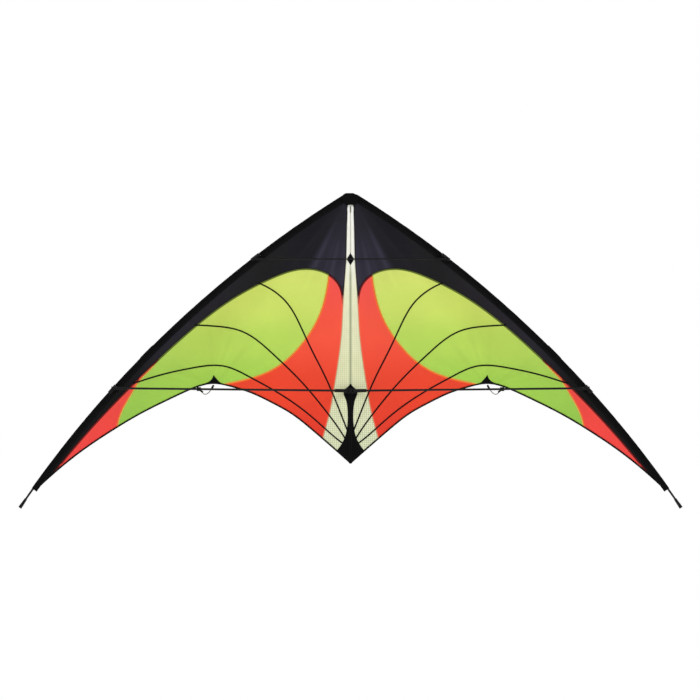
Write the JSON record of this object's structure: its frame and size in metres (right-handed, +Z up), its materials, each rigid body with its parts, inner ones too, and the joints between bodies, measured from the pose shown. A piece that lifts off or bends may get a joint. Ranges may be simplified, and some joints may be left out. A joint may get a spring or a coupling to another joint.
{
  "type": "delta kite",
  "caption": "Two-line delta kite with swept bowed leading edges, a billowed fabric sail in coloured panels, a rod frame, cross spreaders and trailing edge standoffs.",
  "frame": {"origin": "middle of the centre T, on the axis of the lower spreader, where the middle bridle leg is tied", "axes": "+X across the span to the right wing as seen from the front, +Y backwards through the sail (the sail billows to +Y), +Z up the spine to the nose"},
  "size_m": [1.595, 0.1284, 0.7581],
  "materials": {
    "black_ripstop": "matte navy-black ripstop nylon",
    "green_ripstop": "lime green ripstop nylon, slightly see-through",
    "inner_red_ripstop": "orange red ripstop nylon, slightly see-through",
    "tip_red_ripstop": "red ripstop nylon, slightly see-through",
    "cream_scrim": "cream see-through laminated scrim",
    "sleeve_cloth": "black woven polyester",
    "webbing": "black woven reinforcement",
    "edge_tape": "black folded tape",
    "carbon_tube": "pultruded black carbon tube",
    "carbon_rod": "solid black carbon rod",
    "ferrule_rod": "solid fibreglass",
    "fibreglass_rod": "grey solid fibreglass",
    "moulded_vinyl": "black moulded vinyl"
  },
  "bodies": {
    "centre": {"spine": "carbon_tube", "tail_pocket": "webbing", "nose_webbing": "webbing", "spine_patch": "webbing", "centre_t": "moulded_vinyl"},
    "left_wing": {"left_upper_leading_edge": "carbon_tube", "left_lower_leading_edge": "carbon_tube", "left_leading_edge_ferrule": "ferrule_rod", "left_tip_nock": "moulded_vinyl", "left_lower_sleeve": "sleeve_cloth", "left_middle_sleeve": "sleeve_cloth", "left_upper_sleeve": "sleeve_cloth", "left_ferrule_patch": "webbing", "left_centre_panel": "cream_scrim", "left_leading_edge_panel": "black_ripstop", "left_inner_panel": "inner_red_ripstop", "left_tip_panel": "tip_red_ripstop", "left_main_panel": "green_ripstop", "left_tail_patch": "webbing", "left_trailing_edge_binding": "edge_tape", "left_standoff_patch": "webbing", "left_upper_rib": "edge_tape", "left_middle_rib": "edge_tape", "left_lower_rib": "edge_tape", "left_lower_connector": "moulded_vinyl", "left_upper_connector": "moulded_vinyl", "left_standoff_socket": "moulded_vinyl"},
    "left_lower_spreader": {"left_t_arm": "moulded_vinyl", "left_lower_spreader": "carbon_tube"},
    "left_standoff": {"left_standoff_clip": "moulded_vinyl", "left_standoff_rod": "fibreglass_rod"},
    "right_wing": {"right_upper_leading_edge": "carbon_tube", "right_lower_leading_edge": "carbon_tube", "right_leading_edge_ferrule": "ferrule_rod", "right_tip_nock": "moulded_vinyl", "right_lower_sleeve": "sleeve_cloth", "right_middle_sleeve": "sleeve_cloth", "right_upper_sleeve": "sleeve_cloth", "right_ferrule_patch": "webbing", "right_centre_panel": "cream_scrim", "right_leading_edge_panel": "black_ripstop", "right_inner_panel": "inner_red_ripstop", "right_tip_panel": "tip_red_ripstop", "right_main_panel": "green_ripstop", "right_tail_patch": "webbing", "right_trailing_edge_binding": "edge_tape", "right_standoff_patch": "webbing", "right_upper_rib": "edge_tape", "right_middle_rib": "edge_tape", "right_lower_rib": "edge_tape", "right_lower_connector": "moulded_vinyl", "right_upper_connector": "moulded_vinyl", "right_standoff_socket": "moulded_vinyl"},
    "right_lower_spreader": {"right_t_arm": "moulded_vinyl", "right_lower_spreader": "carbon_tube"},
    "right_standoff": {"right_standoff_clip": "moulded_vinyl", "right_standoff_rod": "fibreglass_rod"},
    "upper_spreader": {"upper_spreader": "carbon_rod"}
  },
  "joints": [
    {"name": "left_wing_fold", "type": "hinge", "parent": "centre", "child": "left_wing", "pos_m": [0, 0.0126, 0], "axis": [0, 0, -1], "range_deg": [0, 60]},
    {"name": "right_wing_fold", "type": "hinge", "parent": "centre", "child": "right_wing", "pos_m": [0, 0.0126, 0], "axis": [0, 0, 1], "range_deg": [0, 60]},
    {"name": "left_spreader_swing", "type": "hinge", "parent": "centre", "child": "left_lower_spreader", "pos_m": [-0.008, 0, 0], "axis": [0, 0, 1], "range_deg": [0, 40]},
    {"name": "right_spreader_swing", "type": "hinge", "parent": "centre", "child": "right_lower_spreader", "pos_m": [0.008, 0, 0], "axis": [0, 0, -1], "range_deg": [0, 40]},
    {"name": "left_standoff_turn", "type": "hinge", "parent": "left_lower_spreader", "child": "left_standoff", "pos_m": [-0.364, 0, 0.00379], "axis": [-0.9999, 0, 0.0107], "range_deg": [0, 80]},
    {"name": "right_standoff_turn", "type": "hinge", "parent": "right_lower_spreader", "child": "right_standoff", "pos_m": [0.364, 0, 0.00379], "axis": [-0.9999, 0, -0.0107], "range_deg": [0, 80]},
    {"name": "upper_spreader_lift_off", "type": "slide", "parent": "centre", "child": "upper_spreader", "axis": [0, -1, 0], "range_m": [0, 0.08]}
  ]
}
